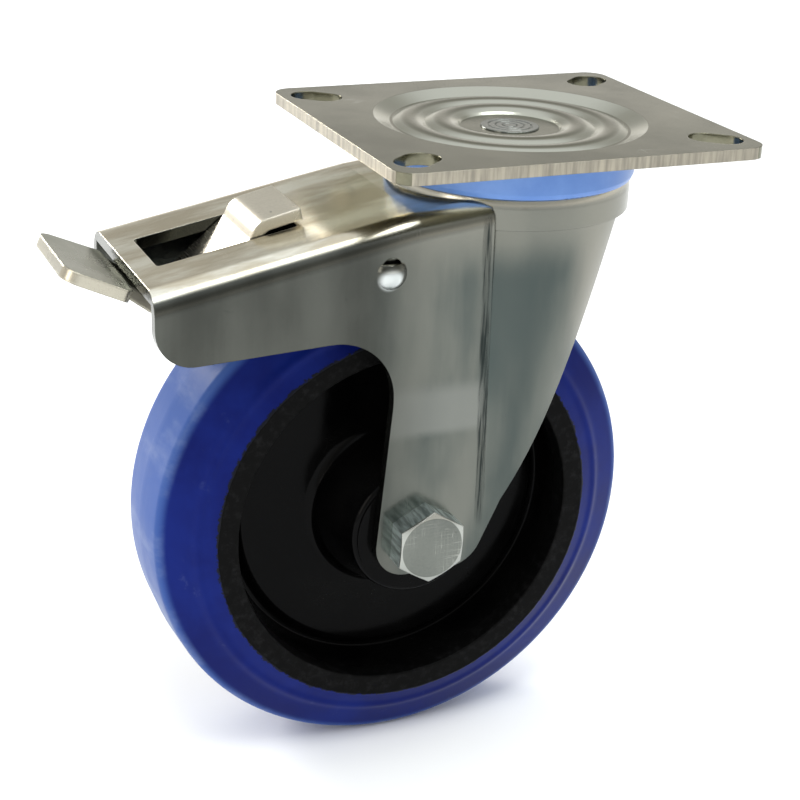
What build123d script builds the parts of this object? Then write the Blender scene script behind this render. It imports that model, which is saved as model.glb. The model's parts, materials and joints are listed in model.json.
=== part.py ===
from build123d import *
import math
import os

os.makedirs("parts", exist_ok=True)

# Swivel castor with a total brake. All sizes are in millimetres.
# The origin is on the swivel axis, on the upper face of the mounting plate.
# +Z points up into the furniture, +X is the front, and the wheel trails towards -X.

# Driving dimensions
wheel_diameter = 125.0
trail = 30.5
axle_drop = 95.0
sheet = 2.8
fork_inner_width = 48.0

# Mounting plate
plate_length = 93.0
plate_width = 83.0
plate_thickness = 2.8
plate_corner = 5.0
slot_spacing_x = 76.0
slot_spacing_y = 62.6
slot_length = 13.0
slot_width = 8.8
dish_radius = 33.0
dish_depth = 1.7
dish_slope = 4.0
race_rise = 0.9
inner_ring_radius = 16.5
ring_crease = 0.7
recess_radius = 12.5
recess_drop = 0.6

# Swivel head
ball_clearance = 0.15
upper_ball_diameter = 6.35
upper_circle_radius = 24.4
upper_ball_count = 22
lower_ball_diameter = 5.56
lower_circle_radius = 17.0
lower_ball_count = 17
groove_depth = 0.75
pin_shank_radius = 8.0
pin_top_radius = 6.0
pin_rivet_radius = 7.1
pin_rivet_rise = 0.3
pin_rivet_edge = 0.15
pin_ring_step = 1.75
pin_ring_cut = 0.35
pin_head_radius = 11.0
pin_head_height = 4.0
pin_clearance = 0.6
seat_gap = 0.02
race_thickness = 2.5
race_radius = 22.5
race_rim = 1.6
lock_thickness = 3.0
lock_radius = 23.5
lock_notches = 20
notch_depth = 3.6
notch_width = 3.8

# Pressed fork
crown_radius = 29.8
crown_shoulder = 5.0
crown_top = -9.6
skirt_end = -19.6
crease_x = -16.0
crease_end_x = -14.5
leg_front_angle = -40.0
arm_end_x = -95.9
arm_rise = 0.2
arm_top_at_end = -27.15
arm_bend = 5.5
arm_front_x = -34.0
arm_front_z = -12.6
arm_hollow_front_x = -14.0
arm_lower_edge = -42.0
arm_lower_end = -44.8
arm_corner = 9.0
armpit_radius = 15.0
leg_rear_x = -39.3
leg_waist_z = -60.0
leg_foot_rear_x = -43.0
leg_foot_front_x = -17.5
leg_foot_drop = 9.6
foot_rear_round = 8.0
foot_front_round = 9.0
leg_flat_z = -88.0
leg_flat_front_x = -9.8
leg_section_front_x = -3.0
leg_top_x = 18.6
leg_belly_x = 7.6
leg_belly_z = -54.0
leg_step = 0.6
leg_lap = 1.5
hollow_lap = 0.5
hollow_step = 0.15
hollow_spread = 1.0
window_rear_x = -90.65
window_front_x = -57.6
window_width = 20.6
window_corner = 1.0
pocket_radius = 3.7
pocket_rise = 1.9
pocket_drop = 1.3
pocket_lip = 1.1

# Dust seal
seal_outer_radius = 30.6
seal_inner_radius = 28.2
seal_top = -4.7
seal_edge = -10.9
seal_lip_radius = 30.0
seal_lip = -12.4

# Wheel
tread_half_width = 11.6
shoulder_drop = 0.5
tread_shoulder = 1.6
tyre_base_radius = 48.7
tyre_half_width = 17.8
side_ridge_rise = 4.5
side_ridge_height = 0.45
side_ridge_width = 1.6
tyre_key_depth = 2.2
tyre_key_half_width = 9.0
rim_half_width = 17.9
rim_flange = 5.3
rim_draft = 1.2
rim_groove_depth = 1.8
rim_groove_width = 1.3
web_half_width = 6.0
boss_root_radius = 20.6
boss_radius = 16.3
hub_half_length = 23.3

# Axle and roller bearing
axle_diameter = 10.0
axle_hole_gap = 0.2
axle_tube_radius = 7.5
tube_bore_gap = 0.1
roller_diameter = 3.0
roller_count = 10
roller_gap = 0.05
roller_length = 34.0
cage_wall = 1.6
cage_length = 38.0
pocket_gap = 0.06
hub_cap_radius = 15.4
hub_cap_flange = 0.5
hub_cap_spigot = 3.0
head_width = 16.0
head_height = 6.4
head_chamfer = 0.7
head_face_inset = 0.4
head_turn = 28.0
nut_height = 10.0
nut_collar_radius = 7.4
nut_hex_height = 7.0
insert_height = 2.2
insert_radius = 6.6
nut_lip = 0.4
bolt_overrun = 2.4

# Brake
carrier_pivot_x = -41.0
carrier_pivot_z = -26.0
brake_angle = 7.0
brake_gap = 0.35
brake_pin_radius = 2.5
carrier_pin_recess = 1.5
pin_running_gap = 0.05
cheek_inner = 10.3
cheek_thickness = 2.5
cheek_boss = 4.4
carrier_web = 2.0
shoe_thickness = 2.4
shoe_half_width = 11.5
shoe_front_x = -50.0
shoe_rear_x = -72.0
web_front_x = -47.0
web_rear_x = -77.0
bridge_front_x = -20.8
bridge_rear_x = -31.0
cheek_front_x = -24.2
bridge_thickness = 2.2
bridge_top = -26.5
tooth_thickness = 2.4
tooth_width = 3.0
tooth_gap = 0.5
shoe_rivet_radius = 1.6
shoe_rivet_spacing = 11.0
rivet_head = 1.0
rivet_head_radius = 2.8
spring_wire = 1.4
spring_coil_gap = 0.4
spring_turns = 5
spring_pitch = 1.55
spring_leg_gap = 0.08
spring_leg_x = -29.5
spring_leg_rise = 6.4

# Brake lever; its side view is given along the middle of the sheet
lever_sheet = 2.8
lever_half_width = 9.8
lever_ear = 2.6
ear_boss = 4.2
lever_pivot_x = -82.0
toe_end_x = -112.3
toe_end_z = -24.6
toe_bend_x = -97.8
toe_bend_z = -31.0
neck_x = -91.6
neck_z = -35.7
heel_x = -86.2
heel_z = -38.4
fold_x = -67.9
fold_z = -22.8
hump_x = -66.2
hump_z = -19.1
tip_x = -56.6
tip_z = -16.8
toe_half_width = 15.6
toe_end_half_width = 14.6
toe_corner = 4.0
toe_inner_corner = 1.5
toe_bend = 3.5
neck_bend = 3.0
heel_bend = 5.0
fold_bend = 3.0
hump_bend = 4.0

# Derived places
wheel_radius = wheel_diameter / 2
half_inner = fork_inner_width / 2
half_outer = half_inner + sheet
side_ridge_radius = tyre_base_radius + side_ridge_rise
rim_lip_radius = tyre_base_radius - rim_flange
rim_groove_radius = rim_lip_radius - rim_draft
web_edge_radius = rim_groove_radius - rim_groove_width
axle_centre = (-trail, 0, -axle_drop)
wheel_axis = Axis(axle_centre, (0, 1, 0))
wheel_section = Plane(origin=axle_centre)
side_view = Plane.XZ
head_section = Plane.XZ
swivel_axis = Axis.Z
crown_under = crown_top - sheet
leg_radius = crown_radius - leg_step
leg_top_z = skirt_end + leg_lap
race_floor = -dish_depth + race_rise
upper_ball_z = race_floor - plate_thickness - ball_clearance - upper_ball_diameter / 2
crown_groove_floor = upper_ball_z - upper_ball_diameter / 2 - ball_clearance
lower_ball_z = crown_under + groove_depth - ball_clearance - lower_ball_diameter / 2
race_groove_floor = lower_ball_z - lower_ball_diameter / 2 - ball_clearance
race_top = race_groove_floor + groove_depth
race_under = race_top - race_thickness
lock_under = race_under - lock_thickness
recess_floor = -dish_depth - recess_drop
recess_under = recess_floor - plate_thickness
roller_circle = axle_tube_radius + roller_gap + roller_diameter / 2
hub_bore_radius = roller_circle + roller_diameter / 2 + roller_gap


def arm_top(x):
    # Height of the brake arm's upper face above a place along the arm
    return arm_top_at_end + arm_rise * (x - arm_end_x)


def ramp_z(x):
    # Height of the middle of the lever's ramp above a place along the arm
    return heel_z + (x - heel_x) * (fold_z - heel_z) / (fold_x - heel_x)


def turned(x, z, degrees):
    # A point in side view after a turn about the carrier's pivot
    angle = math.radians(degrees)
    dx = x - carrier_pivot_x
    dz = z - carrier_pivot_z
    return (
        carrier_pivot_x + dx * math.cos(angle) + dz * math.sin(angle),
        carrier_pivot_z - dx * math.sin(angle) + dz * math.cos(angle),
    )


def outline(*corners):
    # A closed face from corners given as across, up and rounding radius
    with BuildLine() as path:
        FilletPolyline(
            [(across, up) for across, up, _ in corners],
            radius=[rounding for _, _, rounding in corners],
            close=True,
        )
    make_face(path.edges())


# Mounting plate, pressed from sheet, with a dished centre that forms the upper ball race
with BuildPart() as top_plate:
    with BuildSketch(Plane.XY.offset(-plate_thickness)):
        RectangleRounded(plate_length, plate_width, plate_corner)
    extrude(amount=plate_thickness)
    # The press pushes the dish down by the same depth on both faces
    with BuildSketch(head_section):
        Rectangle(
            dish_radius - dish_slope,
            dish_depth + plate_thickness,
            align=(Align.MIN, Align.MAX),
        )
    revolve(axis=swivel_axis)
    with BuildSketch(head_section):
        with BuildLine():
            Polyline(
                (dish_radius, 0),
                (dish_radius, -plate_thickness),
                (dish_radius - dish_slope, -plate_thickness - dish_depth),
                (dish_radius - dish_slope, 0),
                close=True,
            )
        make_face()
    revolve(axis=swivel_axis)
    with BuildSketch(head_section):
        with BuildLine():
            ridge_outer = 2 * upper_circle_radius - (dish_radius - dish_slope) + ring_crease
            Line((0, 0), (0, recess_floor))
            Line((0, recess_floor), (recess_radius - recess_drop, recess_floor))
            Line((recess_radius - recess_drop, recess_floor), (recess_radius, -dish_depth))
            ThreePointArc(
                (recess_radius, -dish_depth),
                (inner_ring_radius, race_floor),
                (ridge_outer, -dish_depth),
            )
            ThreePointArc(
                (ridge_outer, -dish_depth),
                (upper_circle_radius, race_floor),
                (dish_radius - dish_slope - ring_crease, -dish_depth),
            )
            Line(
                (dish_radius - dish_slope - ring_crease, -dish_depth),
                (dish_radius - dish_slope, -dish_depth),
            )
            Line((dish_radius - dish_slope, -dish_depth), (dish_radius, 0))
            Line((dish_radius, 0), (0, 0))
        make_face()
    revolve(axis=swivel_axis, mode=Mode.SUBTRACT)
    with BuildSketch(head_section):
        Rectangle(recess_radius, -recess_under, align=(Align.MIN, Align.MAX))
        Rectangle(recess_radius, -recess_floor, align=(Align.MIN, Align.MAX), mode=Mode.SUBTRACT)
    revolve(axis=swivel_axis)
    with BuildSketch(head_section):
        with Locations((upper_circle_radius, upper_ball_z)):
            Circle(upper_ball_diameter / 2 + ball_clearance)
    revolve(axis=swivel_axis, mode=Mode.SUBTRACT)
    with BuildSketch(Plane.XY):
        Circle(pin_top_radius + seat_gap)
    extrude(amount=recess_under, mode=Mode.SUBTRACT)
    with BuildSketch(Plane.XY):
        for side_x in (-1, 1):
            for side_y in (-1, 1):
                centre_x = side_x * slot_spacing_x / 2
                centre_y = side_y * slot_spacing_y / 2
                with Locations((centre_x, centre_y)):
                    slot_angle = math.degrees(math.atan2(centre_y, centre_x))
                    SlotOverall(slot_length, slot_width, rotation=slot_angle)
    extrude(amount=-plate_thickness, mode=Mode.SUBTRACT)
top_plate.part.label = "top_plate"

# King pin, riveted over in the plate's recess, with its head under the lock ring
with BuildPart() as king_pin:
    with BuildSketch(head_section):
        outline(
            (0, recess_floor + pin_rivet_rise, 0),
            (pin_rivet_radius, recess_floor + pin_rivet_rise, pin_rivet_edge),
            (pin_rivet_radius, recess_floor, 0),
            (pin_top_radius, recess_floor, 0),
            (pin_top_radius, recess_under, 0),
            (pin_shank_radius, recess_under, 0),
            (pin_shank_radius, lock_under, 0),
            (pin_head_radius, lock_under, 0),
            (pin_head_radius, lock_under - pin_head_height, 1.2),
            (0, lock_under - pin_head_height, 0),
        )
        # Turned rings in the riveted end
        for ring in (1, 2, 3):
            with Locations((ring * pin_ring_step, recess_floor + pin_rivet_rise)):
                Rectangle(pin_ring_cut, pin_ring_cut, rotation=45, mode=Mode.SUBTRACT)
    revolve(axis=swivel_axis)
king_pin.part.label = "king_pin"

# Lower ball race, a pressed cup under the crown
with BuildPart() as lower_race:
    with BuildSketch(head_section):
        outline(
            (pin_shank_radius + seat_gap, race_top, 0),
            (race_radius - race_thickness, race_top, 0.6),
            (race_radius - race_thickness, race_top + race_rim, 0),
            (race_radius, race_top + race_rim, 0),
            (race_radius, race_under, 2.0),
            (pin_shank_radius + seat_gap, race_under, 0),
        )
        with Locations((lower_circle_radius, lower_ball_z)):
            Circle(lower_ball_diameter / 2 + ball_clearance, mode=Mode.SUBTRACT)
    revolve(axis=swivel_axis)
lower_race.part.label = "lower_race"

# Notched ring that the brake's tooth enters to stop the swivel
with BuildPart() as lock_ring:
    with BuildSketch(Plane.XY.offset(lock_under)):
        Circle(lock_radius)
        Circle(pin_shank_radius + seat_gap, mode=Mode.SUBTRACT)
        with PolarLocations(lock_radius, lock_notches):
            Rectangle(2 * notch_depth, notch_width, mode=Mode.SUBTRACT)
    extrude(amount=lock_thickness)
lock_ring.part.label = "lock_ring"

# Ball rings
with BuildPart() as upper_balls:
    with Locations((0, 0, upper_ball_z)):
        with PolarLocations(upper_circle_radius, upper_ball_count):
            Sphere(upper_ball_diameter / 2)
upper_balls.part.label = "upper_balls"

with BuildPart() as lower_balls:
    with Locations((0, 0, lower_ball_z)):
        with PolarLocations(lower_circle_radius, lower_ball_count):
            Sphere(lower_ball_diameter / 2)
lower_balls.part.label = "lower_balls"

# Plastic dust seal round the head
with BuildPart() as dust_seal:
    with BuildSketch(head_section):
        outline(
            (seal_inner_radius, seal_top, 0),
            (seal_outer_radius, seal_top, 0.4),
            (seal_outer_radius, seal_edge, 0.5),
            (seal_lip_radius, seal_lip, 0.3),
            (seal_inner_radius, seal_edge + 0.4, 0),
        )
    revolve(axis=swivel_axis)
dust_seal.part.label = "dust_seal"

# Fork: crown, two legs and the brake arm, pressed from one sheet.
# It is drawn as a solid form that is then hollowed by the thickness of the sheet.
with BuildPart() as fork:
    with BuildSketch(side_view):
        outline(
            (arm_end_x, arm_top_at_end, 0),
            (arm_front_x, arm_top(arm_front_x), 0),
            (crease_x, arm_front_z, 0),
            (crease_end_x, leg_flat_z, 0),
            (leg_flat_front_x, leg_flat_z, 0),
            (leg_foot_front_x, -axle_drop - leg_foot_drop, foot_front_round),
            (leg_foot_rear_x, -axle_drop - leg_foot_drop, foot_rear_round),
            (leg_rear_x, leg_waist_z, 0),
            (leg_rear_x, arm_lower_edge, armpit_radius),
            (arm_end_x, arm_lower_end, arm_corner),
        )
    extrude(amount=half_outer, both=True)
    arm_edges = (
        fork.edges()
        .filter_by(lambda edge: abs(abs(edge.center().Y) - half_outer) < 0.01)
        .filter_by(lambda edge: edge.center().Z > arm_top_at_end)
    )
    fillet(arm_edges, radius=arm_bend)
    with BuildSketch(head_section):
        outline(
            (0, crown_top, 0),
            (crown_radius, crown_top, crown_shoulder),
            (crown_radius, skirt_end, 0),
            (0, skirt_end, 0),
        )
        with Locations((upper_circle_radius, upper_ball_z)):
            Circle(upper_ball_diameter / 2 + ball_clearance, mode=Mode.SUBTRACT)
    revolve(axis=swivel_axis)
    # Hollow of the arm and of the flat rear part of the legs
    with BuildSketch(side_view):
        outline(
            (arm_end_x - sheet, arm_top(arm_end_x - sheet) - sheet, 0),
            (arm_front_x, arm_top(arm_front_x) - sheet, 0),
            (arm_hollow_front_x, arm_front_z - sheet, 0),
            (arm_hollow_front_x, leg_flat_z, 0),
            (wheel_radius, leg_flat_z, 0),
            (wheel_radius, -axle_drop - wheel_radius, 0),
            (arm_end_x - sheet, -axle_drop - wheel_radius, 0),
        )
    extrude(amount=half_inner, both=True, mode=Mode.SUBTRACT)
    # Hollow of the crown, with the lower ball race and the hole that the king pin passes
    with BuildSketch(head_section):
        outline(
            (0, crown_under, 0),
            (crown_radius - sheet, crown_under, crown_shoulder - sheet),
            (crown_radius - sheet, skirt_end - hollow_lap, 0),
            (0, skirt_end - hollow_lap, 0),
        )
        Rectangle(pin_shank_radius + pin_clearance, -skirt_end, align=(Align.MIN, Align.MAX))
        with Locations((lower_circle_radius, lower_ball_z)):
            Circle(lower_ball_diameter / 2 + ball_clearance)
    revolve(axis=swivel_axis, mode=Mode.SUBTRACT)
    # The legs turn from the head's round section to a flat foot; their hollow is open in front
    skirt_rear_x = crease_x - leg_lap
    skirt_rear_y = math.sqrt(leg_radius**2 - skirt_rear_x**2)
    skirt_front_x = leg_radius * math.cos(math.radians(leg_front_angle))
    skirt_front_y = leg_radius * math.sin(math.radians(leg_front_angle))
    hollow_radius = leg_radius - sheet
    hollow_rear_x = crease_x - sheet
    hollow_rear_y = math.sqrt(hollow_radius**2 - hollow_rear_x**2)
    hollow_front_x = hollow_radius * math.cos(math.radians(leg_front_angle))
    hollow_front_y = hollow_radius * math.sin(math.radians(leg_front_angle))
    with BuildPart(mode=Mode.PRIVATE) as legs:
        with BuildSketch(Plane.XY.offset(leg_top_z)):
            with BuildLine() as ring:
                near = ThreePointArc(
                    (skirt_rear_x, -skirt_rear_y), (0, -leg_radius), (skirt_front_x, skirt_front_y)
                )
                far = ThreePointArc(
                    (skirt_front_x, -skirt_front_y), (0, leg_radius), (skirt_rear_x, skirt_rear_y)
                )
                Line(near @ 1, far @ 0)
                Line(far @ 1, near @ 0)
            make_face(ring.edges())
        with BuildSketch(Plane.XY.offset(leg_flat_z)):
            outline(
                (crease_end_x - leg_lap, -half_outer, 0),
                (leg_section_front_x, -half_outer, 0),
                (leg_section_front_x, half_outer, 0),
                (crease_end_x - leg_lap, half_outer, 0),
            )
        loft()
        with BuildSketch(Plane.XY.offset(leg_top_z + hollow_lap)):
            with BuildLine() as ring:
                near = ThreePointArc(
                    (hollow_rear_x, -hollow_rear_y),
                    (0, -hollow_radius),
                    (hollow_front_x, hollow_front_y),
                )
                far = ThreePointArc(
                    (hollow_front_x, -hollow_front_y),
                    (0, hollow_radius),
                    (hollow_rear_x, hollow_rear_y),
                )
                Polyline(
                    near @ 1,
                    (wheel_radius, hollow_front_y - hollow_spread),
                    (wheel_radius, hollow_spread - hollow_front_y),
                    far @ 0,
                )
                Line(far @ 1, near @ 0)
            make_face(ring.edges())
        with BuildSketch(Plane.XY.offset(leg_flat_z - hollow_lap)):
            outline(
                (crease_end_x - sheet, hollow_step - half_inner, 0),
                (leg_section_front_x, hollow_step - half_inner, 0),
                (wheel_radius, -half_inner - hollow_spread, 0),
                (wheel_radius, half_inner + hollow_spread, 0),
                (leg_section_front_x, half_inner - hollow_step, 0),
                (crease_end_x - sheet, half_inner - hollow_step, 0),
            )
        loft(ruled=True, mode=Mode.SUBTRACT)
        # Front edges of the legs
        with BuildSketch(side_view):
            with BuildLine():
                edge = ThreePointArc(
                    (leg_top_x, skirt_end),
                    (leg_belly_x, leg_belly_z),
                    (leg_flat_front_x, leg_flat_z),
                )
                Polyline(
                    edge @ 1,
                    (leg_flat_front_x, leg_flat_z - sheet),
                    (wheel_radius, leg_flat_z - sheet),
                    (wheel_radius, crown_top),
                    (leg_top_x, crown_top),
                    edge @ 0,
                )
            make_face()
        extrude(amount=wheel_radius, both=True, mode=Mode.SUBTRACT)
    add(legs.part)
    # Window of the brake lever
    window_centre = (window_rear_x + window_front_x) / 2
    with BuildSketch(Plane.XY.offset(arm_top(window_front_x))):
        with Locations((window_centre, 0)):
            RectangleRounded(window_front_x - window_rear_x, window_width, window_corner)
    extrude(amount=arm_top(window_rear_x) - arm_top(window_front_x) - 2 * sheet, mode=Mode.SUBTRACT)
    # Axle holes
    with BuildSketch(side_view):
        with Locations((-trail, -axle_drop)):
            Circle(axle_diameter / 2 + axle_hole_gap)
    extrude(amount=half_outer, both=True, mode=Mode.SUBTRACT)
    # Lanced pockets under the ends of the carrier's pivot pin; the hole stays open above each
    pocket_depth = pocket_radius**2 / (2 * pocket_rise) - pocket_rise / 2
    for side in (-1, 1):
        pocket_centre = (
            carrier_pivot_x,
            side * (half_outer - pocket_depth),
            carrier_pivot_z - pocket_drop,
        )
        with Locations(pocket_centre):
            with BuildPart(mode=Mode.PRIVATE) as dome:
                Sphere(pocket_depth + pocket_rise)
                split(bisect_by=Plane(origin=(0, side * pocket_depth, 0), z_dir=(0, side, 0)))
                split(bisect_by=Plane(origin=(0, 0, pocket_drop + pocket_lip), z_dir=(0, 0, -1)))
            add(dome.part)
        with BuildSketch(Plane(origin=(0, side * half_inner, 0), x_dir=(1, 0, 0), z_dir=(0, -1, 0))):
            with Locations((carrier_pivot_x, carrier_pivot_z)):
                Circle(brake_pin_radius + seat_gap)
        extrude(amount=-side * sheet, mode=Mode.SUBTRACT)
fork.part.label = "fork"

# Hexagon bolt that is the wheel's axle; its head is on the near side, towards -Y
near_face = Plane(origin=(-trail, -half_outer, -axle_drop), x_dir=(1, 0, 0), z_dir=(0, -1, 0))
far_face = Plane(origin=(-trail, half_outer, -axle_drop), x_dir=(1, 0, 0), z_dir=(0, 1, 0))
with BuildPart() as axle_bolt:
    with BuildSketch(near_face):
        RegularPolygon(head_width / 2, 6, major_radius=False, rotation=head_turn)
    extrude(amount=head_height)
    # The corners of the head are turned off to a circle
    with BuildSketch(wheel_section):
        with BuildLine():
            corner_radius = head_width / math.sqrt(3)
            Polyline(
                (head_width / 2 - head_face_inset, -half_outer - head_height),
                (corner_radius + head_face_inset, -half_outer - head_height),
                (corner_radius + head_face_inset, -half_outer - head_height + head_chamfer),
                close=True,
            )
        make_face()
    revolve(axis=wheel_axis, mode=Mode.SUBTRACT)
    with BuildSketch(near_face):
        Circle(axle_diameter / 2)
    extrude(amount=-2 * half_outer - nut_height - bolt_overrun)
axle_bolt.part.label = "axle_bolt"

# Lock nut on the far side, with its plastic insert
with BuildPart() as axle_nut:
    with BuildSketch(far_face):
        RegularPolygon(head_width / 2, 6, major_radius=False)
    extrude(amount=nut_hex_height)
    with BuildSketch(far_face.offset(nut_hex_height)):
        Circle(nut_collar_radius)
    extrude(amount=nut_height - nut_hex_height)
    with BuildSketch(far_face):
        Circle(axle_diameter / 2 + seat_gap)
    extrude(amount=nut_height, mode=Mode.SUBTRACT)
    with BuildSketch(far_face.offset(nut_height - insert_height - nut_lip)):
        Circle(insert_radius)
    extrude(amount=insert_height, mode=Mode.SUBTRACT)
axle_nut.part.label = "axle_nut"

with BuildPart() as nut_insert:
    with BuildSketch(far_face.offset(nut_height - insert_height - nut_lip)):
        Circle(insert_radius)
        Circle(axle_diameter / 2 + seat_gap, mode=Mode.SUBTRACT)
    extrude(amount=insert_height)
nut_insert.part.label = "nut_insert"

# Tube that the bolt clamps between the legs; the rollers run on it
with BuildPart() as axle_tube:
    with BuildSketch(side_view):
        with Locations((-trail, -axle_drop)):
            Circle(axle_tube_radius)
            Circle(axle_diameter / 2 + tube_bore_gap, mode=Mode.SUBTRACT)
    extrude(amount=half_inner, both=True)
axle_tube.part.label = "axle_tube"

# Roller bearing: a plastic cage with steel rollers
with BuildPart() as roller_cage:
    with BuildSketch(side_view):
        with Locations((-trail, -axle_drop)):
            Circle(roller_circle + cage_wall / 2)
            Circle(roller_circle - cage_wall / 2, mode=Mode.SUBTRACT)
    extrude(amount=cage_length / 2, both=True)
    with BuildSketch(side_view):
        with Locations((-trail, -axle_drop)):
            with PolarLocations(roller_circle, roller_count):
                Circle(roller_diameter / 2 + pocket_gap)
    extrude(amount=roller_length / 2 + pocket_gap, both=True, mode=Mode.SUBTRACT)
roller_cage.part.label = "roller_cage"

with BuildPart() as rollers:
    with BuildSketch(side_view):
        with Locations((-trail, -axle_drop)):
            with PolarLocations(roller_circle, roller_count):
                Circle(roller_diameter / 2)
    extrude(amount=roller_length / 2, both=True)
rollers.part.label = "rollers"

# Wheel centre, moulded in black plastic
with BuildPart() as wheel_rim:
    with BuildSketch(wheel_section):
        outline(
            (hub_bore_radius, 0, 0),
            (hub_bore_radius, hub_half_length, 0),
            (boss_radius, hub_half_length, 1.2),
            (boss_root_radius, web_half_width, 3.0),
            (web_edge_radius - rim_groove_depth, web_half_width, 1.5),
            (web_edge_radius, web_half_width - rim_groove_depth, 0.6),
            (rim_groove_radius, web_half_width - rim_groove_depth, 0.5),
            (rim_lip_radius, rim_half_width, 0.5),
            (tyre_base_radius, rim_half_width, 0.3),
            (tyre_base_radius, tyre_key_half_width, 0),
            (tyre_base_radius - tyre_key_depth, tyre_key_half_width - tyre_key_depth / 2, 0),
            (tyre_base_radius - tyre_key_depth, 0, 0),
        )
        mirror(about=Plane.XZ)
    revolve(axis=wheel_axis)
wheel_rim.part.label = "wheel_rim"

# Elastic rubber tyre, keyed on to the wheel centre
with BuildPart() as tyre:
    with BuildSketch(wheel_section):
        side_slope = (tyre_half_width - tread_half_width) / (wheel_radius - tyre_base_radius)
        ridge_y = tyre_half_width - side_slope * (side_ridge_radius - tyre_base_radius)
        outline(
            (tyre_base_radius - tyre_key_depth, 0, 0),
            (tyre_base_radius - tyre_key_depth, tyre_key_half_width - tyre_key_depth / 2, 0),
            (tyre_base_radius, tyre_key_half_width, 0),
            (tyre_base_radius, tyre_half_width, 0.5),
            (side_ridge_radius - side_ridge_width, ridge_y + side_slope * side_ridge_width, 0),
            (side_ridge_radius, ridge_y + side_ridge_height, 0.8),
            (side_ridge_radius + side_ridge_width, ridge_y - side_slope * side_ridge_width, 0),
            (wheel_radius - shoulder_drop, tread_half_width, tread_shoulder),
            (wheel_radius, 0, 0),
        )
        mirror(about=Plane.XZ)
    revolve(axis=wheel_axis)
tyre.part.label = "tyre"

# Plastic caps that close the hub's ends and keep the rollers in
hub_caps = {}
for cap_name, side in (("hub_cap_near", -1), ("hub_cap_far", 1)):
    with BuildPart() as hub_cap:
        with BuildSketch(wheel_section):
            flange_y = side * (hub_half_length + hub_cap_flange)
            with BuildLine():
                Polyline(
                    (axle_tube_radius + roller_gap, flange_y),
                    (hub_cap_radius, flange_y),
                    (hub_cap_radius, side * hub_half_length),
                    (hub_bore_radius - seat_gap, side * hub_half_length),
                    (hub_bore_radius - seat_gap, side * (hub_half_length - hub_cap_spigot)),
                    (axle_tube_radius + roller_gap, side * (hub_half_length - hub_cap_spigot)),
                    close=True,
                )
            make_face()
        revolve(axis=wheel_axis)
    hub_cap.part.label = cap_name
    hub_caps[cap_name] = hub_cap.part

# Brake carrier: two cheeks, the web over the tyre and the bridge with the swivel tooth.
# The tyre's centre is turned back by the braking angle, so that the shoe meets the tread squarely.
tyre_centre = turned(-trail, -axle_drop, brake_angle)
shoe_radius = wheel_radius + brake_gap
web_radius = shoe_radius + shoe_thickness
ramp_angle = math.atan2(fold_z - heel_z, fold_x - heel_x)
pin_under_ramp = lever_sheet / 2 + brake_pin_radius + pin_running_gap
lever_pivot_z = ramp_z(lever_pivot_x) - pin_under_ramp / math.cos(ramp_angle)
cheek_mid = cheek_inner + cheek_thickness / 2
shoe_mid_x = (shoe_front_x + shoe_rear_x) / 2


def over_tyre(x, radius):
    # A point above the tyre at a place along the arm, on a circle about its turned centre
    return (x, tyre_centre[1] + math.sqrt(radius**2 - (x - tyre_centre[0]) ** 2))


# Place of the shoe's rivets, square to the tread
rivet_seat = over_tyre(shoe_mid_x, shoe_radius)
rivet_plane = Plane(
    origin=(rivet_seat[0], 0, rivet_seat[1]),
    x_dir=(0, 1, 0),
    z_dir=(rivet_seat[0] - tyre_centre[0], 0, rivet_seat[1] - tyre_centre[1]),
)

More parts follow.
